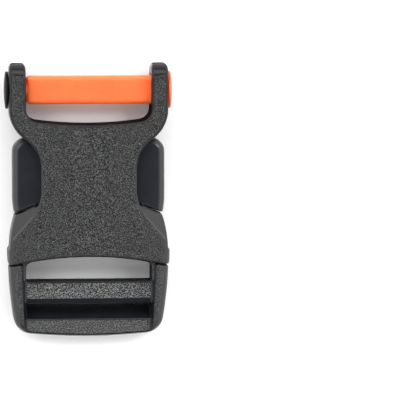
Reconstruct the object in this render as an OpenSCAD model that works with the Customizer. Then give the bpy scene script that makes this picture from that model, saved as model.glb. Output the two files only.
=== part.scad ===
// Side release buckle for webbing, with a strap bar that comes out of its ears.
// Millimetres. X runs across the webbing, Y from the plug's end to the ears, and Z up from the back.
// The modules draw from the middle of the socket's mouth. The node calls at the end then put
// the origin under the middle of the whole buckle.

/* [Webbing] */
// Width of the webbing
webbing_w = 25; // [22:0.5:30]
// Room beside the webbing in the plug's slots, on each side
slot_play = 0.35; // [0.1:0.05:0.5]
// Room beside the webbing between the ears, on each side
ear_play = 0.3; // [0.2:0.1:1.2]

/* [Socket] */
// Height of the socket on its centre line
socket_h = 9.6; // [9.2:0.1:11]
// Length of the socket on its centre line, from the mouth to the strap slot
socket_len = 26.8; // [26.4:0.1:30]
// Radius of the crowned front, seen from the end
crown_r = 200; // [150:10:400]
// Radius of the mouth's edge, seen from the front
mouth_r = 70; // [60:1:120]
// How far the hips stand out past the plug's rails, on each side
hip_step = 0.2; // [0.1:0.1:0.8]
// Radius of the hips, seen from the front
hip_r = 26; // [24:0.5:32]
// Distance from the mouth to the widest place of the hips
hip_y = 0.8; // [0:0.1:2]
// Rounding of the hips towards the front
hip_front_round = 2; // [1.4:0.1:2.6]
// Rounding of the hips towards the back
hip_back_round = 1.4; // [0.8:0.1:2]
// Width of the waist between the two windows
waist_w = 19.4; // [18:0.2:22]
// Radius of a window's curved ends
window_r = 7.5; // [6.6:0.1:8.4]
// Length of the straight run between them
window_run = 4.2; // [3:0.1:5]
// Distance from the mouth to the middle of a window
window_y = 15.5; // [15:0.1:16]

/* [Latch shoulders] */
// Distance from the mouth to the shoulder that an arm catches on, at the pad's outer face
shoulder_y = 8.1; // [7.8:0.1:8.6]
// Slope of the shoulder
shoulder_slope = 22; // [16:1:26]
// Width of the sloping facet at the shoulder, from its crease to the hip's side
facet_w = 5.1; // [3:0.1:5.7]
// Tilt of that facet from the front
facet_tilt = 31; // [25:1:40]
// How far the facet turns from facing sideways towards the ears
facet_turn = 37; // [30:1:40]
// How far the hip's side steps in beside the facet
facet_step = 0.4; // [0.1:0.05:0.5]
// Wall under the facet
facet_t = 1; // [0.8:0.1:1.3]

/* [Socket's hollow] */
// Wall between the hollow and the back
back_t = 1.5; // [1.2:0.1:1.8]
// Height of the hollow
hollow_h = 6.2; // [5.6:0.1:6.4]
// Wall between the hollow and the hips' sides
side_t = 1.5; // [1.2:0.1:2]
// Wall between the hollow and the strap slot
end_t = 2.4; // [2:0.1:3]
// Thickness of the two ribs that guide the plug's tongue
rib_t = 1; // [0.8:0.1:1.4]
// Distance from the mouth to the start of the ribs
rib_y = 3.6; // [3.2:0.1:6]

/* [Ears] */
// Thickness of an ear
ear_t = 3.45; // [2.8:0.05:4]
// Distance from the bar's axis to the ears' tips
ear_reach = 5.5; // [5:0.1:7]
// Rounding of the ears' tips, seen from the side
ear_round = 3.4; // [2.4:0.1:4]
// Rounding of the ears' tips, seen from the front
tip_round = 1; // [0.6:0.1:1.2]
// Radius of the flare that leads from a window to the ear above it
flare_r = 7.5; // [6:0.1:8.4]
// Strap slot between the socket and the bar, on the centre line
strap_slot = 4.1; // [3.4:0.1:6]
// Rounding of the strap slot's corners
slot_round = 2.5; // [1.6:0.1:3]
// Radius of the strap slot's lower edge
slot_edge_r = 80; // [60:1:160]

/* [Strap bar and cap] */
// Width of the strap bar
bar_w = 5.8; // [5:0.1:6.2]
// Thickness of the strap bar
bar_t = 4; // [3.6:0.1:4.4]
// Rounding of the strap bar's long edges
bar_round = 1; // [0.6:0.05:1.2]
// Chamfer round the strap bar's blind end
bar_chamfer = 0.5; // [0.2:0.05:0.8]
// Diameter of the bar's head and of the cap
head_d = 7.7; // [7.6:0.1:8.4]
// Height of their straight rims
head_rim = 0.55; // [0.3:0.05:0.8]
// Height of their domes
head_dome = 0.3; // [0.2:0.05:0.6]
// How much slimmer the bar's tenon is than the bar is thick
tenon_step = 0.2; // [0.1:0.05:0.6]
// Diameter of the cap's post
post_d = 2.2; // [1.6:0.1:2.4]
// Length of the cap's post
post_len = 6; // [4.5:0.1:9]

/* [Plug's frame] */
// Width of a rail at the mouth
rail_w = 3.55; // [3.2:0.05:4.4]
// Radius of the rails' outer sides, seen from the front
rail_r = 80; // [66:1:100]
// Distance from the mouth to the widest place of the rails
rail_y = 0.2; // [0:0.1:2]
// Height of the rails at the mouth
rail_h = 8.7; // [8.2:0.1:9]
// Slope of the rails' front towards the plug's end
rail_slope = 6.5; // [3:0.5:8]
// Rounding of the rails towards the front
rail_front_round = 2.2; // [1.4:0.1:2.6]
// Rounding of the rails towards the back
rail_back_round = 1.2; // [0.6:0.1:1.8]
// Rounding of the plug's two corners
corner_r = 3.8; // [3:0.1:4.4]
// Radius of the plug's end, seen from the front
end_r = 120; // [90:5:200]
// Draft of the rails' inner sides over the bars
rail_draft = 20; // [5:1:25]

/* [Plug's bars] */
// Slot between the crossbeam and the adjuster bar, on the centre line
inner_slot = 4.9; // [4.6:0.1:5.8]
// Rounding of that slot's corners
inner_slot_round = 1.2; // [1:0.1:3]
// Width of the adjuster bar's front
adjuster_w = 4.8; // [4.4:0.1:5.4]
// Height of the adjuster bar's front above the back
adjuster_z = 6.5; // [6:0.1:6.8]
// Width of the bevel along the adjuster bar's gripping edge
adjuster_bevel = 1.2; // [0.6:0.1:1.4]
// Depth of that bevel
bevel_drop = 0.4; // [0.2:0.1:1]
// Slot between the adjuster bar and the end bar
outer_slot = 3.2; // [2.8:0.1:4]
// How far that slot leans towards the mouth on its way down
slot_lean = 3.1; // [2.4:0.1:3.6]
// Width of the end bar's front
end_bar_w = 3.6; // [3:0.1:4.2]
// Height of the end bar's front above the back
end_bar_z = 5.9; // [5.5:0.1:6.2]
// Height of both bars' undersides above the back
bar_lift = 1.4; // [1:0.1:2]

/* [Plug's arms and tongue] */
// How far the pads stay back from the hips' sides
pad_inset = 1; // [0.9:0.1:1.4]
// How far the pads reach under the waist
pad_cover = 1.2; // [0.8:0.1:2]
// Rounding of the pads' edges
pad_round = 1.5; // [0.8:0.1:1.8]
// Rounding of the pads' noses, seen from the front
nose_r = 2.8; // [2:0.1:3.4]
// Room between the noses and the hollow's end
nose_gap = 0.4; // [0.3:0.05:1]
// Radius at which the pads' outer sides draw in above the shoulders
heel_r = 15; // [10:1:30]
// Distance from the shoulder to where they start to draw in
heel_run = 4; // [3:0.1:6]
// Thickness of the arms' stems
stem_t = 2.4; // [1.8:0.1:2.8]
// Depth of the plug's crossbeam inside the mouth
beam_len = 2.6; // [2.2:0.1:3]
// How far the crossbeam stands out of the mouth
beam_out = 0.4; // [0.2:0.1:0.6]
// Width of the tongue
tongue_w = 6; // [4.5:0.1:6.6]
// Thickness of the tongue
tongue_t = 3; // [2:0.1:5]
// Distance from the mouth to the tongue's tip
tongue_len = 21; // [16:0.5:23]

/* [Fits] */
// Gap between the plug and the walls of the socket
fit = 0.25; // [0.15:0.05:0.3]
// Gap between the rails and the mouth, and between the pads and the shoulders
seam = 0.35; // [0.2:0.05:0.5]
// Gap between the strap bar and the ears, and between the cap and the bar
bar_fit = 0.1; // [0.05:0.05:0.2]

/* [Hidden] */
// How far a cutter reaches past what it cuts
past = 1;
// More than the buckle's largest size
far = 80;
// How far two shapes of one piece run into each other
overlap = 0.1;
// Angle between two points of a curve
step = 3;
// Points along a rounded edge, along a long curve and along the hips
edge_n = 6;
curve_n = 12;
hip_n = 20;
// Facets round the mouth's cylinder, a round piece and a small rounding
mouth_fn = 360;
round_fn = 96;
small_fn = 32;

// Half widths, from the centre line
slot_half = webbing_w / 2 + slot_play;
plug_half = slot_half + rail_w;
hip_half = plug_half + hip_step;
pad_out = hip_half - pad_inset;
pad_in = waist_w / 2 - pad_cover;
ear_in = webbing_w / 2 + ear_play;
ear_out = ear_in + ear_t;
rib_in = tongue_w / 2 + fit;

// Lengths from the mouth
hollow_end = socket_len - end_t;
nose_y = hollow_end - nose_gap;
heel_y = shoulder_y + heel_run;
bar_y = socket_len + strap_slot + bar_w / 2;
ear_tip = bar_y + ear_reach;
adjuster_y = -beam_out - inner_slot;
outer_slot_y = adjuster_y - adjuster_w;
end_bar_y = outer_slot_y - outer_slot;
plug_end = end_bar_y - end_bar_w;
// From the mouth to the middle of the whole buckle
middle = (ear_tip + plug_end) / 2;
// Just below the corners of the mouth
mouth_low = -past - pow(hip_half, 2) / mouth_r / 2;

// Heights above the back
bar_z = socket_h / 2;
arm_z = back_t + fit;
arm_h = hollow_h - 2 * fit;
tenon_d = bar_t - tenon_step;

// Centres of the window's two curves, and of the flare that touches the upper one and the ear's
// outer side
window_x = waist_w / 2 + window_r;
window_low = window_y - window_run / 2;
window_high = window_y + window_run / 2;
flare_x = ear_out - flare_r;
flare_y = window_high + sqrt(pow(window_r + flare_r, 2) - pow(window_x - flare_x, 2));
flare_a = atan2(flare_y - window_high, window_x - flare_x);

// The height on the shoulder at a distance from the centre line
function shoulder_at(x) = shoulder_y + (pad_out - x) * tan(shoulder_slope);
// Where the shoulder has run in to the waist
shoulder_top = shoulder_at(waist_w / 2);
// The facet's crease at the shoulder, and where it has run out to the hip's side
facet_in = hip_half - facet_w;
facet_low = shoulder_y - facet_w / tan(facet_turn);

// Half width of the hips at a distance from the mouth, drawn in from their sides
function hip_at(y, inset) =
    sqrt(pow(hip_r - inset, 2) - pow(y - hip_y, 2)) - (hip_r - hip_half);
stem_out = hip_at(shoulder_top, side_t) - fit;
beam_half = hip_at(mouth_low, side_t) - fit;

// Points along an arc, a set number of them or one every few degrees
function arc(centre, r, from, to, n) =
    [for (i = [0:n]) centre + r * [cos(from + (to - from) * i / n), sin(from + (to - from) * i / n)]];
function turn(centre, r, from, to) = arc(centre, r, from, to, max(2, ceil(abs(to - from) / step)));
function mirrored(points) = [for (i = [len(points) - 1:-1:0]) [-points[i].x, points[i].y]];

// Height of the crowned front at a distance from the centre line
function crown_at(x) = socket_h - crown_r + sqrt(pow(crown_r, 2) - pow(x, 2));

// The right half of a slot's curved edge: a corner that touches the slot's side at x = half,
// then the edge itself, whose middle is at y = edge. The edge bulges up (way 1) or down (way -1).
function slot_edge(half, edge, edge_r, corner_r, way) =
    let (
        reach = half - corner_r,
        rise = sqrt(pow(edge_r - corner_r, 2) - pow(reach, 2)),
        corner = [reach, edge - way * (edge_r - rise)],
        lean = atan2(rise, reach)
    )
    concat(
        turn(corner, corner_r, 0, way * lean),
        arc([0, edge - way * edge_r], edge_r, way * lean, way * 90, curve_n)
    );

// A solid through rings of points, each with as many points as the next. Seen from the last
// ring's side, the points run anticlockwise.
module loft(rings) {
    n = len(rings[0]);
    last = len(rings) - 1;
    polyhedron(
        points = [for (ring = rings) each ring],
        faces = concat(
            [[for (i = [0:n - 1]) i]],
            [[for (i = [n - 1:-1:0]) last * n + i]],
            [for (k = [0:last - 1], i = [0:n - 1])
                let (j = (i + 1) % n, low = k * n, high = low + n)
                each [[low + i, high + i, high + j], [low + i, high + j, low + j]]]
        )
    );
}

module both_sides() {
    children();
    mirror([1, 0, 0])
        children();
}

// Extrudes a profile of Y and Z over X, between two places
module across(from, to) {
    translate([from, 0, 0])
        rotate([90, 0, 90])
            linear_extrude(to - from)
                children();
}

// Extrudes a profile of X and Z over Y, between two places
module along(from, to) {
    translate([0, to, 0])
        rotate([90, 0, 0])
            linear_extrude(to - from)
                children();
}

// Extrudes an outline seen from the front right through the buckle
module through() {
    translate([0, 0, -past])
        linear_extrude(socket_h + 2 * past)
            children();
}

// The right half of the trunk's section: back corner, side, front corner, then half the crown
function trunk_half(half, front_round, back_round) =
    let (
        reach = half - front_round,
        rise = sqrt(pow(crown_r - front_round, 2) - pow(reach, 2)),
        lean = asin(reach / (crown_r - front_round)),
        crown_centre = [0, socket_h - crown_r]
    )
    concat(
        arc([half - back_round, back_round], back_round, -90, 0, edge_n),
        arc(crown_centre + [reach, rise], front_round, 0, 90 - lean, edge_n),
        [for (i = [1:edge_n])
            crown_centre + crown_r * [sin(lean * (1 - i / edge_n)), cos(lean * (1 - i / edge_n))]]
    );

// The trunk's whole section at a distance from the mouth
function trunk_ring(y, half, front_round, back_round) =
    let (
        right = trunk_half(half, front_round, back_round),
        left = [for (i = [len(right) - 2:-1:0]) [-right[i].x, right[i].y]]
    )
    [for (point = concat(right, left)) [point.x, y, point.y]];

// The crowned trunk: the hips with their rounded sides, then a plain slab up to the ears' tips
module trunk() {
    slab_half = ear_out + past;
    loft([
        trunk_ring(ear_tip + past, slab_half, tip_round, tip_round),
        trunk_ring(window_y + past, slab_half, tip_round, tip_round),
        for (i = [hip_n:-1:0])
            let (y = mouth_low + (window_y - mouth_low) * i / hip_n)
            trunk_ring(y, hip_at(y, 0), hip_front_round, hip_back_round)
    ]);
}

// All that is open on the right of the socket above the shoulder: the window, then the space
// beside the flare and the ear
module beside() {
    intersection() {
        polygon(concat(
            turn([window_x, window_low], window_r, 270, 180),
            turn([window_x, window_high], window_r, 180, 180 - flare_a),
            turn([flare_x, flare_y], flare_r, -flare_a, 0),
            turn([ear_out - tip_round, ear_tip - tip_round], tip_round, 0, 90),
            [[ear_out - tip_round, far], [far, far], [far, window_low - window_r]]
        ));
        polygon([
            [0, shoulder_at(0)],
            [far, shoulder_at(far)],
            [far, far],
            [0, far]
        ]);
    }
}

// The opening between the ears
module between_ears() {
    right = concat(
        [[ear_in + tip_round, far]],
        turn([ear_in + tip_round, ear_tip - tip_round], tip_round, 90, 180),
        slot_edge(ear_in, socket_len, slot_edge_r, slot_round, -1)
    );
    polygon(concat(right, mirrored(right)));
}

// What the ears' rounded tips leave open, as a profile of Y and Z
module ear_trim() {
    top = crown_at(ear_in);
    polygon(concat(
        [[far, -past], [ear_tip - ear_round, -past]],
        turn([ear_tip - ear_round, ear_round], ear_round, -90, 0),
        turn([ear_tip - ear_round, top - ear_round], ear_round, 0, 90),
        [[ear_tip - ear_round, socket_h + past], [far, socket_h + past]]
    ));
}

// All that is above the sloping facet on the right hip's corner, or above a plane some depth
// under it, below the shoulder
module facet_cut(depth) {
    intersection() {
        translate([facet_in, shoulder_y, crown_at(facet_in)])
            rotate([0, facet_tilt, facet_turn])
                translate([-far / 2, -far / 2, -depth])
                    cube(far);
        translate([0, shoulder_top - far, 0])
            cube(far);
    }
}

// What the side of the right hip steps in, beside the facet
module side_cut() {
    edge = [for (i = [0:hip_n])
        let (y = facet_low + (shoulder_top - facet_low) * i / hip_n)
        [hip_at(y, facet_step), y]];
    through()
        polygon(concat(edge, [[far, shoulder_top], [far, facet_low]]));
}

// The hollow that takes the plug: inside the hips, then from window to window
module hollow() {
    right = [for (i = [0:hip_n])
        let (y = mouth_low + (window_y - mouth_low) * i / hip_n)
        [hip_at(y, side_t), y]];
    difference() {
        translate([0, 0, back_t])
            linear_extrude(hollow_h) {
                polygon(concat(right, mirrored(right)));
                translate([-far / 2, shoulder_top])
                    square([far, hollow_end - shoulder_top]);
            }
        both_sides()
            facet_cut(facet_t);
    }
}

// The strap bar's section, as a profile of Y and Z, grown by a gap
module bar_section(gap) {
    w = bar_w + 2 * gap;
    t = bar_t + 2 * gap;
    r = bar_round + gap;
    translate([bar_y, bar_z]) {
        square([w - 2 * r, t], center = true);
        square([w, t - 2 * r], center = true);
        for (y = [-1, 1], z = [-1, 1])
            translate([y * (w / 2 - r), z * (t / 2 - r)])
                circle(r, $fn = small_fn);
    }
}

// A rod along the strap bar's axis, between two places
module bar_rod(d, from, to) {
    translate([from, bar_y, bar_z])
        rotate([0, 90, 0])
            cylinder(d = d, h = to - from, $fn = round_fn);
}

module ear_holes() {
    bar_rod(tenon_d + 2 * bar_fit, -ear_out - past, -ear_in + past);
    across(ear_in - past, ear_out + past)
        bar_section(bar_fit);
}

module ribs() {
    both_sides()
        translate([rib_in, rib_y, back_t - overlap])
            cube([rib_t, hollow_end - rib_y + overlap, hollow_h + 2 * overlap]);
}

module socket() {
    color([0.13, 0.13, 0.13]) {
        difference() {
            trunk();
            translate([0, -mouth_r, -past])
                cylinder(r = mouth_r, h = socket_h + 2 * past, $fn = mouth_fn);
            both_sides() {
                facet_cut(0);
                side_cut();
                through()
                    beside();
            }
            through()
                between_ears();
            across(-far / 2, far / 2)
                ear_trim();
            hollow();
            ear_holes();
        }
        ribs();
    }
}

// The domed head of the bar or the cap, which stands out from the right ear
module head() {
    base = ear_out + bar_fit;
    dome_r = (pow(head_d / 2, 2) + pow(head_dome, 2)) / (2 * head_dome);
    dome_a = asin(head_d / 2 / dome_r);
    translate([base, bar_y, bar_z])
        rotate([0, 90, 0])
            rotate_extrude($fn = round_fn)
                polygon(concat(
                    [[0, 0], [head_d / 2, 0]],
                    arc([0, head_rim + head_dome - dome_r], dome_r, 90 - dome_a, 90, edge_n)
                ));
}

// The strap bar's body from ear to ear, with its blind end chamfered
module bar_body() {
    left = -ear_in + bar_fit;
    right = ear_out + bar_fit + head_rim / 2;
    intersection() {
        across(left, right)
            bar_section(0);
        linear_extrude(socket_h)
            polygon([
                [left, bar_y - bar_w / 2 + bar_chamfer],
                [left + bar_chamfer, bar_y - bar_w / 2],
                [right, bar_y - bar_w / 2],
                [right, bar_y + bar_w / 2],
                [left + bar_chamfer, bar_y + bar_w / 2],
                [left, bar_y + bar_w / 2 - bar_chamfer]
            ]);
        along(bar_y - bar_w, bar_y + bar_w)
            polygon([
                [left, bar_z - bar_t / 2 + bar_chamfer],
                [left + bar_chamfer, bar_z - bar_t / 2],
                [right, bar_z - bar_t / 2],
                [right, bar_z + bar_t / 2],
                [left + bar_chamfer, bar_z + bar_t / 2],
                [left, bar_z + bar_t / 2 - bar_chamfer]
            ]);
    }
}

module strap_bar() {
    color([1, 0.42, 0.16])
        difference() {
            union() {
                bar_body();
                bar_rod(tenon_d, -ear_out, -ear_in + past);
                head();
            }
            bar_rod(post_d + 2 * bar_fit, -ear_out - past, -ear_out + post_len);
        }
}

module bar_cap() {
    color([0.05, 0.05, 0.06])
        mirror([1, 0, 0]) {
            head();
            bar_rod(post_d, ear_out - post_len + 2 * bar_fit, ear_out + 2 * bar_fit);
        }
}

// The right half of the plug's frame seen from the front, drawn in from its edge: half its end,
// a corner, then a rail's outer side
function frame_half(inset) =
    let (
        rail_centre = [plug_half - rail_r, -rail_y],
        end_centre = [0, plug_end + end_r],
        apart = norm(end_centre - rail_centre),
        way = (end_centre - rail_centre) / apart,
        run = (pow(rail_r - corner_r, 2) - pow(end_r - corner_r, 2) + pow(apart, 2)) / (2 * apart),
        off = sqrt(pow(rail_r - corner_r, 2) - pow(run, 2)),
        corner = rail_centre + run * way + off * [way.y, -way.x],
        end_a = atan2(corner.y - end_centre.y, corner.x - end_centre.x),
        rail_a = atan2(corner.y - rail_centre.y, corner.x - rail_centre.x),
        top_a = asin((rail_y + corner_r) / (rail_r - inset))
    )
    concat(
        arc(end_centre, end_r - inset, -90, end_a, edge_n),
        arc(corner, corner_r - inset, end_a, rail_a, curve_n),
        arc(rail_centre, rail_r - inset, rail_a, top_a, curve_n)
    );

// One ring of the plug's frame, on a level that may slope down towards the plug's end
function frame_ring(z, inset, slope) =
    let (
        right = frame_half(inset),
        left = [for (i = [len(right) - 1:-1:1]) [-right[i].x, right[i].y]]
    )
    [for (point = concat(right, left)) [point.x, point.y, z + point.y * tan(slope)]];

// The plug's frame with rounded edges and a sloping front, before its slots are cut
module frame_form() {
    loft(concat(
        [for (i = [edge_n:-1:0]) let (a = 90 * i / edge_n)
            frame_ring(rail_back_round * (1 - sin(a)), rail_back_round * (1 - cos(a)), 0)],
        [for (i = [0:edge_n]) let (a = 90 * i / edge_n)
            frame_ring(rail_h - rail_front_round * (1 - sin(a)), rail_front_round * (1 - cos(a)),
                rail_slope)]
    ));
}

// The adjuster bar and the end bar, with the slot that leans between them
module bars() {
    across(-far / 2, far / 2) {
        polygon([
            [adjuster_y, bar_lift],
            [adjuster_y, adjuster_z],
            [outer_slot_y + adjuster_bevel, adjuster_z],
            [outer_slot_y, adjuster_z - bevel_drop],
            [outer_slot_y + slot_lean, bar_lift]
        ]);
        polygon([
            [end_bar_y, end_bar_z],
            [end_bar_y + slot_lean, bar_lift],
            [plug_end - past, bar_lift],
            [plug_end - past, end_bar_z]
        ]);
    }
}

// All that is open between the rails
module between_rails() {
    top_half = slot_half + (rail_h + past - end_bar_z) * tan(rail_draft);
    difference() {
        along(plug_end - past, corner_r)
            polygon([
                [-slot_half, -past],
                [slot_half, -past],
                [slot_half, end_bar_z],
                [top_half, rail_h + past],
                [-top_half, rail_h + past],
                [-slot_half, end_bar_z]
            ]);
        bars();
    }
}

module plug_frame() {
    difference() {
        intersection() {
            frame_form();
            translate([0, -mouth_r - seam, -past])
                cylinder(r = mouth_r, h = rail_h + 2 * past, $fn = mouth_fn);
        }
        between_rails();
    }
}

// The crossbeam inside the mouth, and the rounded corners of the slot below it
module crossbeam() {
    translate([0, 0, arm_z])
        linear_extrude(arm_h)
            difference() {
                translate([-beam_half, adjuster_y])
                    square([2 * beam_half, beam_len - adjuster_y]);
                polygon(concat(
                    [[slot_half, adjuster_y - past]],
                    slot_edge(slot_half, -beam_out, mouth_r, inner_slot_round, 1),
                    mirrored(slot_edge(slot_half, -beam_out, mouth_r, inner_slot_round, 1)),
                    [[-slot_half, adjuster_y - past]]
                ));
            }
}

// One ring of the right pad, drawn in from its edge. It runs on below the heel.
function pad_ring(z, inset) =
    let (
        run_on = asin((heel_run + past) / heel_r),
        nose_x = pad_out - nose_r,
        outline = concat(
            [[pad_in, shoulder_y - past]],
            arc([pad_out - heel_r, heel_y], heel_r - inset, -run_on, 0, edge_n),
            arc([nose_x, nose_y - nose_r], nose_r - inset, 0, 90, curve_n),
            [[(pad_in + nose_x) / 2, nose_y - inset], [pad_in, nose_y - 2 * nose_r]]
        )
    )
    [for (point = outline) [point.x, point.y, z]];

// The right pad, with rounded edges and the sloping heel that catches on the shoulder
module pad() {
    heel = seam / cos(shoulder_slope);
    intersection() {
        loft(concat(
            [for (i = [edge_n:-1:0]) let (a = 90 * i / edge_n)
                pad_ring(arm_z + pad_round * (1 - sin(a)), pad_round * (1 - cos(a)))],
            [for (i = [0:edge_n]) let (a = 90 * i / edge_n)
                pad_ring(arm_z + arm_h - pad_round * (1 - sin(a)), pad_round * (1 - cos(a)))]
        ));
        through()
            polygon([
                [0, shoulder_at(0) + heel],
                [far, shoulder_at(far) + heel],
                [far, far],
                [0, far]
            ]);
    }
}

module arms() {
    both_sides() {
        pad();
        difference() {
            translate([stem_out - stem_t, beam_len - past, arm_z])
                cube([stem_t, heel_y - beam_len + past, arm_h]);
            facet_cut(facet_t + fit);
        }
    }
}

module tongue() {
    half = tongue_w / 2;
    translate([0, 0, arm_z + (arm_h - tongue_t) / 2])
        linear_extrude(tongue_t)
            polygon([
                [-half, beam_len - past],
                [half, beam_len - past],
                [half, tongue_len - half],
                [half / 2, tongue_len],
                [-half / 2, tongue_len],
                [-half, tongue_len - half]
            ]);
}

module plug() {
    color([0.13, 0.13, 0.13]) {
        plug_frame();
        crossbeam();
        arms();
        tongue();
    }
}

translate([0, -middle, 0]) socket();
translate([0, -middle, 0]) strap_bar();
translate([0, -middle, 0]) bar_cap();
translate([0, -middle, 0]) plug();
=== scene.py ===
"""A side release buckle, fastened, lying on its back on a pale floor."""
import math

import bpy
import numpy as np
import openvdb as vdb
from mathutils import Matrix, Vector


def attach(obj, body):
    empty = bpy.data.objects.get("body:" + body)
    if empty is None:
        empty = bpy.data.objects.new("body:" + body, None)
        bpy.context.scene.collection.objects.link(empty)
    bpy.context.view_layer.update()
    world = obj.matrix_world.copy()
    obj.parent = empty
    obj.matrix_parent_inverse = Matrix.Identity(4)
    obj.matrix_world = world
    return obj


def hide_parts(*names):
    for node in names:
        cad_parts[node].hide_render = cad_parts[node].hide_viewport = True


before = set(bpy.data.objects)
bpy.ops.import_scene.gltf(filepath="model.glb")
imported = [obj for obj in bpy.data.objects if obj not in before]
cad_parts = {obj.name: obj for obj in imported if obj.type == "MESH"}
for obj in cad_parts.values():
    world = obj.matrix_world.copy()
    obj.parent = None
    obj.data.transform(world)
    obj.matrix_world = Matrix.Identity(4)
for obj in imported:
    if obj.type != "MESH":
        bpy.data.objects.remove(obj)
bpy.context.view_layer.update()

MM = 0.001

# The level sets that round the edges.
VOXEL = 0.1  # mm
BAND = 3  # cells that a level set holds beyond the farthest offset
MARGIN = 8  # cells of the field round a piece
PASSES = 2  # of the blur over the field
DEEPEST = 0.4  # mm, where the field's distances are cut off


def node_mesh(name):
    """A CAD node's points, in mm, and its triangles."""
    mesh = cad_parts[name].data
    points = np.zeros(len(mesh.vertices) * 3, np.float32)
    mesh.vertices.foreach_get("co", points)
    mesh.calc_loop_triangles()
    faces = np.zeros(len(mesh.loop_triangles) * 3, np.int32)
    mesh.loop_triangles.foreach_get("vertices", faces)
    return points.reshape(-1, 3) / MM, faces.reshape(-1, 3).astype(np.uint32)


def level_set(points, faces, reach):
    return vdb.FloatGrid.createLevelSetFromPolygons(
        np.ascontiguousarray(points, np.float32), triangles=faces,
        transform=vdb.createLinearTransform(voxelSize=VOXEL), halfWidth=reach / VOXEL + BAND)


def surface(grid, offset, adaptivity=0.0):
    """The grid's surface at a distance: points, triangles and quads."""
    points, triangles, quads = grid.convertToPolygons(isovalue=offset, adaptivity=adaptivity)
    return points, triangles.reshape(-1, 3), quads.reshape(-1, 4)


def moved(grid, offset, reach):
    """The level set of the surface at a distance."""
    points, triangles, quads = surface(grid, offset)
    faces = np.vstack([triangles, quads[:, [0, 1, 2]], quads[:, [0, 2, 3]]]).astype(np.uint32)
    return level_set(points, faces, reach)


def dense(grid, low, shape):
    """The grid's values in a box of cells, blurred a few times."""
    field = np.empty(shape, np.float32)
    grid.copyToArray(field, ijk=tuple(int(i) for i in low))
    for _ in range(PASSES):
        for axis in range(3):
            f = np.moveaxis(field, axis, 0)
            f[1:-1] = 0.25 * f[:-2] + 0.5 * f[1:-1] + 0.25 * f[2:]
    return field


def opened(points, faces, low, shape, edge, fillet):
    """The distances in mm to the surface, once it has grown by fillet, shrunk by both and grown by edge."""
    reach = edge + fillet
    grid = level_set(points, faces, reach)
    if fillet:
        grid = moved(grid, fillet, reach)
    grid = moved(grid, -reach, reach)
    return np.clip(dense(grid, low, shape) - edge, -DEEPEST, DEEPEST)


def sample(field, low, points):
    """The field's values at points in mm, between its cells."""
    at = points / VOXEL - low
    cell = np.clip(np.floor(at).astype(int), 0, np.array(field.shape) - 2)
    t = at - cell
    value = 0
    for i in (0, 1):
        for j in (0, 1):
            for k in (0, 1):
                weight = np.abs(1 - i - t[:, 0]) * np.abs(1 - j - t[:, 1]) * np.abs(1 - k - t[:, 2])
                value = value + weight * field[cell[:, 0] + i, cell[:, 1] + j, cell[:, 2] + k]
    return value


def slope(field, low, points):
    """The direction at points in which the field rises, as unit vectors."""
    step = 1.5 * VOXEL
    rise = np.stack([
        sample(field, low, points + step * axis) - sample(field, low, points - step * axis)
        for axis in np.eye(3)], axis=1)
    return rise / np.linalg.norm(rise, axis=1, keepdims=True)


def add_object(name, data):
    item = bpy.data.objects.new(name, data)
    bpy.context.scene.collection.objects.link(item)
    return item


def rounded(node, name, edge, fillet, adaptivity, wide=None):
    """A copy of a CAD node with its outer edges rounded to one radius and its inner ones to another, in mm.

    wide is (radius, x, y, run): another radius for the outer edges beyond x on both sides and beyond y.
    """
    points, faces = node_mesh(node)
    low_corner, high_corner = points.min(0), points.max(0)
    low = np.floor(low_corner / VOXEL).astype(int) - MARGIN
    shape = np.ceil(high_corner / VOXEL).astype(int) + MARGIN + 1 - low
    field = opened(points, faces, low, shape, edge, fillet)
    if wide:
        radius, x_start, y_start, run = wide
        x = np.abs(np.arange(shape[0]) + low[0]) * VOXEL
        y = (np.arange(shape[1]) + low[1]) * VOXEL
        share = np.clip((x - x_start) / run, 0, 1)[:, None] * np.clip((y - y_start) / run, 0, 1)[None, :]
        wider = opened(points, faces, low, shape, radius, fillet)
        field += share.astype(np.float32)[:, :, None] * (wider - field)

    grid = vdb.FloatGrid()
    grid.background = float(field.max())
    grid.copyFromArray(field, ijk=tuple(int(i) for i in low))
    grid.transform = vdb.createLinearTransform(voxelSize=VOXEL)
    points, triangles, quads = surface(grid, 0.0, adaptivity)
    points = points.astype(np.float64)
    normals = slope(field, low, points)
    points = np.clip(points, low_corner, high_corner)

    three = points[quads[:, [0, 1, 2]]]
    facing = np.cross(three[:, 1] - three[:, 0], three[:, 2] - three[:, 0])
    if np.einsum("ij,ij->i", facing, normals[quads[:, 0]]).sum() < 0:
        triangles, quads = triangles[:, ::-1], quads[:, ::-1]
    mesh = bpy.data.meshes.new(name)
    mesh.from_pydata((points * MM).tolist(), [], triangles.tolist() + quads.tolist())
    mesh.polygons.foreach_set("use_smooth", [True] * len(mesh.polygons))
    mesh.normals_split_custom_set_from_vertices(normals.tolist())
    piece = add_object(name, mesh)
    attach(piece, "root")
    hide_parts(node)
    return piece


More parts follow.
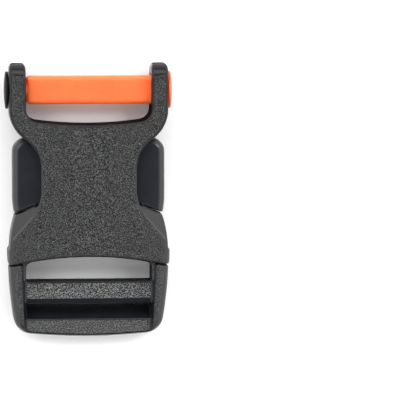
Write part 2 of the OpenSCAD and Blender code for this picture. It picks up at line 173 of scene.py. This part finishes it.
class Tree:
    """A node tree, with short calls for the nodes that it needs."""

    def __init__(self, owner):
        owner.use_nodes = True
        self.tree = owner.node_tree
        self.tree.nodes.clear()

    def add(self, kind, **settings):
        node = self.tree.nodes.new(kind)
        for key, value in settings.items():
            setattr(node, key, value)
        return node

    def link(self, value, socket):
        if isinstance(value, bpy.types.NodeSocket):
            self.tree.links.new(value, socket)
        else:
            socket.default_value = value

    def math(self, operation, *values):
        node = self.add("ShaderNodeMath", operation=operation)
        for value, socket in zip(values, node.inputs):
            self.link(value, socket)
        return node.outputs[0]

    def split(self, vector):
        """A vector's x, y and z."""
        node = self.add("ShaderNodeSeparateXYZ")
        self.link(vector, node.inputs[0])
        return node.outputs

    def ramp(self, value, low, high, to_low=0.0, to_high=1.0):
        """A smooth change from one value to another as value goes from low to high."""
        node = self.add("ShaderNodeMapRange", interpolation_type="SMOOTHSTEP")
        for given, socket in zip((value, low, high, to_low, to_high), node.inputs):
            self.link(given, socket)
        return node.outputs[0]


class Paint(Tree):
    """A material: out is the distance from the middle across the webbing, up and along are how far a face
    looks up and along the webbing."""

    def __init__(self, name):
        self.material = bpy.data.materials.new(name)
        super().__init__(self.material)
        self.shader = self.add("ShaderNodeBsdfPrincipled")
        self.link(self.shader.outputs[0], self.add("ShaderNodeOutputMaterial").inputs[0])
        self.place = self.add("ShaderNodeTexCoord").outputs["Object"]
        self.x, self.y, _ = self.split(self.place)
        self.out = self.math("ABSOLUTE", self.x)
        _, along, self.up = self.split(self.add("ShaderNodeNewGeometry").outputs["Normal"])
        self.along = self.math("ABSOLUTE", along)

    def noise(self, size, detail, stretch=None):
        """Noise from 0 to 1 with features of about a size in metres."""
        place = self.place
        if stretch:
            scale = self.add("ShaderNodeVectorMath", operation="MULTIPLY")
            self.link(place, scale.inputs[0])
            scale.inputs[1].default_value = stretch
            place = scale.outputs[0]
        node = self.add("ShaderNodeTexNoise")
        self.link(place, node.inputs["Vector"])
        node.inputs["Scale"].default_value = 1 / size
        node.inputs["Detail"].default_value = detail
        return node.outputs[0]

    def clouds(self, size, detail=3.0):
        """Soft patches, from 0 to 1."""
        return self.ramp(self.noise(size, detail), 0.3, 0.7)

    def mix(self, factor, a, b):
        """Mixes two colours."""
        node = self.add("ShaderNodeMix", data_type="RGBA")
        self.link(factor, node.inputs["Factor"])
        self.link(a if isinstance(a, bpy.types.NodeSocket) else (*a, 1), node.inputs[6])
        self.link(b if isinstance(b, bpy.types.NodeSocket) else (*b, 1), node.inputs[7])
        return node.outputs[2]

    def bump(self, height, depth, strength=1.0, under=None):
        """A bump of a depth in metres, over another one if given."""
        node = self.add("ShaderNodeBump")
        node.inputs["Distance"].default_value = depth
        self.link(strength, node.inputs["Strength"])
        self.link(height, node.inputs["Height"])
        if under:
            self.link(under, node.inputs["Normal"])
        return node.outputs[0]

    def finish(self, color, roughness, normal=None, **shader):
        self.link(color, self.shader.inputs["Base Color"])
        self.link(roughness, self.shader.inputs["Roughness"])
        if normal:
            self.link(normal, self.shader.inputs["Normal"])
        for key, value in shader.items():
            self.link(value, self.shader.inputs[key.replace("_", " ")])
        return self.material


# The colours that the grained plastics share.
MATT_TONE = (0.0180, 0.0172, 0.0185)
# painted highlight for the hips' crease
PAINTED_HIGHLIGHT_TONE = (0.052, 0.051, 0.054)
# painted shade for the inner walls
PAINTED_WALL_SHADE = (0.002, 0.002, 0.0025)

# Where one finish, or the painted shade on the inner walls, gives way to the next: from and to.
EARS = (6 * MM, 10 * MM)  # along, from the hips to the ears
EAR_WALLS_START = (10 * MM, 12 * MM)
EAR_WALLS_END = (24 * MM, 25.5 * MM)
EAR_INSIDE = (13.4 * MM, 14 * MM)  # out, past the ears' inner walls
HIP_SIDES = (9.5 * MM, 16 * MM)  # out, over the hips' rounded sides
RAIL_TOPS = (12.8 * MM, 13.1 * MM)  # out, from the plug's bars to its rails
RAIL_INSIDE = (13.1 * MM, 13.4 * MM)  # out, past the rails' inner walls
RAIL_OUTSIDE = (13.8 * MM, 14.5 * MM)  # out, to the rails' outer sides
END_BAR = (-23.5 * MM, -22.5 * MM)  # along, from the end bar to the adjuster bar
ARMS = -11.2 * MM  # along, from the plug's frame to its arms, under the socket's mouth
HEAD = (16 * MM, 16.6 * MM)  # out, from the strap bar to its head

# The hips' facets, as the CAD cuts them, and the painted highlight along their upper edge.
FACET_TURN = math.radians(37)
FACET_TILT = math.radians(31)
CROWN_RADIUS = 200 * MM
CREASE_X, CREASE_Y = 11.5 * MM, -3.1 * MM  # a point of the line
CREASE_DEPTH = (0.03 * MM, 0.18 * MM)  # between the facet and the crown, over which the painted highlight fades
CREASE_END = (-3.5 * MM, -1.5 * MM)  # along, where it dies out towards the ears


def grained(name, smooth, dark, light, shine, amount, matt, wall_shade, highlight_line, outer):
    """Moulded plastic, smooth in places and with a spark-eroded grain of dark and light in others; the light
    specks partly stand in for painted glints.

    shine is its gloss. The last five give a value at each place: amount the grain's strength, from 0 to 1,
    matt how far the plastic is matt rather than polished where it has no grain, wall where the inner walls
    get painted shade, more roughness and less gloss, line a painted highlight, and outer how much more of the
    room its steep sides mirror.
    """
    n = Paint(name)
    grain = amount(n)
    rough_wall_and_shade = wall_shade(n)
    dull = n.math("MAXIMUM", n.ramp(grain, 0.0, 0.5), matt(n))
    cells = n.noise(0.21 * MM, 1.0)
    pits = n.noise(0.14 * MM, 0.0)
    both = n.math("ADD", n.math("MULTIPLY", cells, 0.6), n.math("MULTIPLY", pits, 0.4))
    speck_and_glint = n.ramp(both, 0.50, 0.57)
    plain = n.mix(n.clouds(4 * MM), smooth, [1.25 * value for value in smooth])
    plain = n.mix(dull, plain, MATT_TONE)
    # grain of dark and light specks; the light specks are partly painted glints
    color = n.mix(grain, plain, n.mix(speck_and_glint, dark, light))
    # painted highlight along the hips' crease
    color = n.mix(highlight_line(n), color, PAINTED_HIGHLIGHT_TONE)
    # painted shade darkens the inner walls, which are also made rougher and less glossy
    color = n.mix(rough_wall_and_shade, color, PAINTED_WALL_SHADE)
    rough = n.ramp(n.math("MAXIMUM", dull, rough_wall_and_shade), 0.0, 1.0, 0.20, 0.58)
    height = n.math("MULTIPLY", both, n.math("ADD", n.math("MULTIPLY", grain, 0.97), 0.03))
    waves = n.bump(n.noise(6 * MM, 1.0), 0.12 * MM, 0.15)
    normal = n.bump(height, 0.8 * MM, 1.0, waves)
    level = n.ramp(dull, 0.0, 1.0, shine, 0.3)
    level = n.math("MULTIPLY", level, n.ramp(rough_wall_and_shade, 0.0, 1.0, 1.0, 0.06))
    sides = n.ramp(n.up, 0.2, 0.7, 1.0, 0.0)
    level = n.math("MULTIPLY", level, n.math("ADD", 1.0, n.math("MULTIPLY", sides, outer(n))))
    return n.finish(color, rough, normal, Specular_IOR_Level=level)


def crease_painted_highlight(n):
    """A painted highlight where a hip's sloping facet leaves the crowned front, standing in for the light
    that this edge catches.
    """
    across = n.math("MULTIPLY", n.math("SUBTRACT", n.out, CREASE_X), math.cos(FACET_TURN))
    along = n.math("MULTIPLY", n.math("SUBTRACT", n.y, CREASE_Y), math.sin(FACET_TURN))
    fall = n.math("MULTIPLY", n.math("ADD", across, along), math.tan(FACET_TILT))
    crown = n.math("SUBTRACT", n.math("MULTIPLY", n.out, n.out), CREASE_X ** 2)
    crown = n.math("DIVIDE", crown, 2 * CROWN_RADIUS)
    away = n.math("ABSOLUTE", n.math("SUBTRACT", fall, crown))
    highlight_line = n.ramp(away, *CREASE_DEPTH, 1.0, 0.0)
    highlight_line = n.math("MULTIPLY", highlight_line, n.ramp(n.up, 0.80, 0.85))
    return n.math("MULTIPLY", highlight_line, n.ramp(n.y, *CREASE_END, 1.0, 0.0))


def hips(n):
    """1 on the socket's hips, 0 towards its ears."""
    return n.ramp(n.y, *EARS, 1.0, 0.0)


def socket_grain(n):
    """Strong on the front's middle, weaker towards the hips' rounded sides, and none on the ears' sides."""
    low = hips(n)
    sloping = n.math("MULTIPLY", low, n.ramp(n.up, 0.87, 0.97))
    front = n.math("MAXIMUM", n.ramp(n.up, 0.965, 0.995), sloping)
    fade = n.math("MULTIPLY", low, n.ramp(n.out, *HIP_SIDES, 0.0, 0.55))
    return n.math("MULTIPLY", front, n.math("SUBTRACT", 1.0, fade))


def socket_outer(n):
    """The hips' sides mirror more of the bright floor than the ears' do."""
    return n.ramp(hips(n), 0.0, 1.0, -0.5, 2.0)


def steep(n):
    return n.ramp(n.up, 0.0, 0.4, 1.0, 0.0)


def end_wall_shade(n):
    """The walls that face along the webbing, painted dark as shade."""
    return n.math("MULTIPLY", steep(n), n.ramp(n.along, 0.6, 0.9))


def frame_wall_shade(n):
    """Those walls and the rails' inner ones, painted dark as shade."""
    inside = n.ramp(n.out, *RAIL_INSIDE, 1.0, 0.0)
    return n.math("MAXIMUM", end_wall_shade(n), n.math("MULTIPLY", steep(n), inside))


def socket_wall_shade(n):
    """Those walls and the ears' inner ones, painted dark as shade."""
    inside = n.math("MULTIPLY", n.ramp(n.y, *EAR_WALLS_START), n.ramp(n.out, *EAR_INSIDE, 1.0, 0.0))
    inside = n.math("MULTIPLY", inside, n.ramp(n.y, *EAR_WALLS_END, 1.0, 0.0))
    return n.math("MAXIMUM", end_wall_shade(n), n.math("MULTIPLY", steep(n), inside))


def rails(n):
    """1 on the plug's two rails, 0 between them."""
    return n.ramp(n.out, *RAIL_TOPS)


def frame_grain(n):
    """Strong on the two bars' fronts and faint on the rails."""
    bars = n.math("MULTIPLY", n.ramp(n.up, 0.97, 0.99), n.math("SUBTRACT", 1.0, rails(n)))
    bars = n.math("MULTIPLY", bars, n.ramp(n.y, *END_BAR, 0.5, 1.0))
    sides = n.math("MULTIPLY", n.math("MULTIPLY", n.ramp(n.up, 0.75, 0.95), rails(n)), 0.22)
    return n.math("ADD", bars, sides)


def frame_matt(n):
    """1 on the rails' outer sides."""
    return n.ramp(n.out, *RAIL_OUTSIDE)


def arm_matt(n):
    """The arms' fronts are polished and their rounded sides less so."""
    return n.ramp(n.up, 0.86, 0.985, 0.6, 0.0)


def nowhere(n):
    return 0.0


def plug_outer(n):
    """Every side of the plug mirrors more of the bright floor."""
    return 1.8


def cap_plastic():
    """Satin plastic, with faint clouds and fine scuffs."""
    n = Paint("cap_plastic")
    fine = n.noise(0.3 * MM, 2.0)
    color = n.mix(n.clouds(5 * MM), (0.0050, 0.0048, 0.0070), (0.0075, 0.0072, 0.0100))
    rough = n.ramp(fine, 0.3, 0.7, 0.46, 0.54)
    normal = n.bump(fine, 0.02 * MM, 0.3)
    return n.finish(color, rough, normal, Specular_IOR_Level=0.06)


def orange_plastic():
    """Satin plastic that lets some light through. The head outside the ear is paler."""
    n = Paint("orange_plastic")
    cloud = n.clouds(6 * MM, 2.0)
    fine = n.noise(0.35 * MM, 2.0)
    color = n.mix(cloud, (0.93, 0.147, 0.036), (0.95, 0.162, 0.042))
    color = n.mix(n.ramp(n.x, *HEAD), color, n.mix(cloud, (0.36, 0.165, 0.080), (0.39, 0.180, 0.090)))
    rough = n.ramp(fine, 0.3, 0.7, 0.44, 0.54)
    waves = n.bump(n.noise(8 * MM, 1.0, (0.3, 1, 1)), 0.1 * MM, 0.1)
    normal = n.bump(fine, 0.03 * MM, 0.3, waves)
    n.shader.subsurface_method = "RANDOM_WALK"
    return n.finish(color, rough, normal, Subsurface_Weight=1.0, Subsurface_Radius=(1.0, 0.2, 0.08),
                    Subsurface_Scale=4 * MM, Specular_IOR_Level=0.3)


# The light grain colours below are partly painted glints.
socket_plastic = grained(
    "socket_plastic", smooth=(0.0040, 0.0044, 0.0056), dark=(0, 0, 0.0005), light=(0.088, 0.092, 0.088),
    shine=0.2, amount=socket_grain, matt=hips, wall_shade=socket_wall_shade, highlight_line=crease_painted_highlight, outer=socket_outer)
frame_plastic = grained(
    "frame_plastic", smooth=(0.0065, 0.0072, 0.0095), dark=(0, 0.0005, 0.001), light=(0.250, 0.258, 0.250),
    shine=0.2, amount=frame_grain, matt=frame_matt, wall_shade=frame_wall_shade, highlight_line=nowhere, outer=plug_outer)
arm_plastic = grained(
    "arm_plastic", smooth=(0.0100, 0.0110, 0.0145), dark=(0, 0, 0), light=(0, 0, 0),
    shine=0.34, amount=nowhere, matt=arm_matt, wall_shade=nowhere, highlight_line=nowhere, outer=plug_outer)

socket = rounded("socket", "socket_body", edge=0.32, fillet=0.2, adaptivity=0.04, wide=(0.55, 11, 11, 2))
socket.data.materials.append(socket_plastic)

plug = rounded("plug", "plug_body", edge=0.25, fillet=0.1, adaptivity=0.04)
plug.data.materials.append(frame_plastic)
plug.data.materials.append(arm_plastic)
centres = np.zeros(len(plug.data.polygons) * 3)
plug.data.polygons.foreach_get("center", centres)
plug.data.polygons.foreach_set("material_index", (centres.reshape(-1, 3)[:, 1] > ARMS).astype(np.int32))

bar = rounded("strap_bar", "strap_bar_body", edge=0.15, fillet=0.0, adaptivity=0.02)
bar.data.materials.append(orange_plastic())
cap = rounded("bar_cap", "bar_cap_body", edge=0.12, fillet=0.0, adaptivity=0.01)
cap.data.materials.append(cap_plastic())


def floor():
    mesh = bpy.data.meshes.new("floor")
    half = 2.0
    corners = [(-half, -half, 0), (half, -half, 0), (half, half, 0), (-half, half, 0)]
    mesh.from_pydata(corners, [], [(0, 1, 2, 3)])
    n = Paint("floor_paint")
    color = n.mix(n.clouds(50 * MM), (0.88, 0.88, 0.88), (0.90, 0.90, 0.90))
    mesh.materials.append(n.finish(color, 0.8))
    piece = add_object("floor", mesh)


def softbox(name, place, width, height, power):
    """A rectangular light that looks at the buckle."""
    light = bpy.data.lights.new(name, "AREA")
    light.shape = "RECTANGLE"
    light.size = width
    light.size_y = height
    light.energy = power
    lamp = add_object(name, light)
    lamp.location = place
    lamp.rotation_euler = (Vector((0, 0, 0)) - Vector(place)).to_track_quat("-Z", "Y").to_euler()


def sky():
    """A room that is dim overhead and towards both ends, with bright walls on both sides."""
    strength, dim, near_floor, behind = 3.2, 0.08, 0.12, 0.2
    world = bpy.data.worlds.new("room")
    bpy.context.scene.world = world
    n = Tree(world)
    x, y, z = n.split(n.add("ShaderNodeTexCoord").outputs["Generated"])
    walls = n.ramp(n.math("ABSOLUTE", x), 0.3, 0.8, dim, 1.0)
    low = n.math("MULTIPLY", n.math("SUBTRACT", 1.0, z), near_floor)
    back = n.math("MULTIPLY", n.math("MAXIMUM", y, 0.0), behind)
    total = n.math("ADD", n.math("ADD", walls, low), back)
    background = n.add("ShaderNodeBackground")
    n.link(n.math("MULTIPLY", total, strength), background.inputs["Strength"])
    n.link(background.outputs[0], n.add("ShaderNodeOutputWorld").inputs[0])


def camera():
    """Nearly straight above, a little from the ears' end and from the left, the buckle left of the middle."""
    from_left, from_ears = math.radians(3.0), math.radians(4.8)
    distance = 0.825
    target = Vector((23.00, -0.2, 4.8)) * MM
    data = bpy.data.cameras.new("camera")
    data.sensor_width = 36
    data.lens = 360
    data.clip_start = 0.01
    data.clip_end = 20
    cam = add_object("camera", data)
    bpy.context.scene.camera = cam
    place = Vector((-math.tan(from_left), math.tan(from_ears), 1)).normalized() * distance
    forward = (target - place).normalized()
    right = forward.cross(Vector((0, 1, 0))).normalized()
    up = right.cross(forward)
    cam.matrix_world = Matrix.Translation(place) @ Matrix((right, up, -forward)).transposed().to_4x4()


floor()
sky()
softbox("key", (0, 0.84, 0.54), width=1.1, height=0.5, power=7.0)
softbox("front_box", (0, -0.37, 0.93), width=0.6, height=0.06, power=0.6)
softbox("left_box", (-0.50, 0.34, 0.80), width=0.25, height=0.25, power=1.6)
softbox("right_box", (0.50, 0.34, 0.80), width=0.25, height=0.25, power=2.4)
camera()
bpy.context.scene.view_settings.view_transform = "Standard"
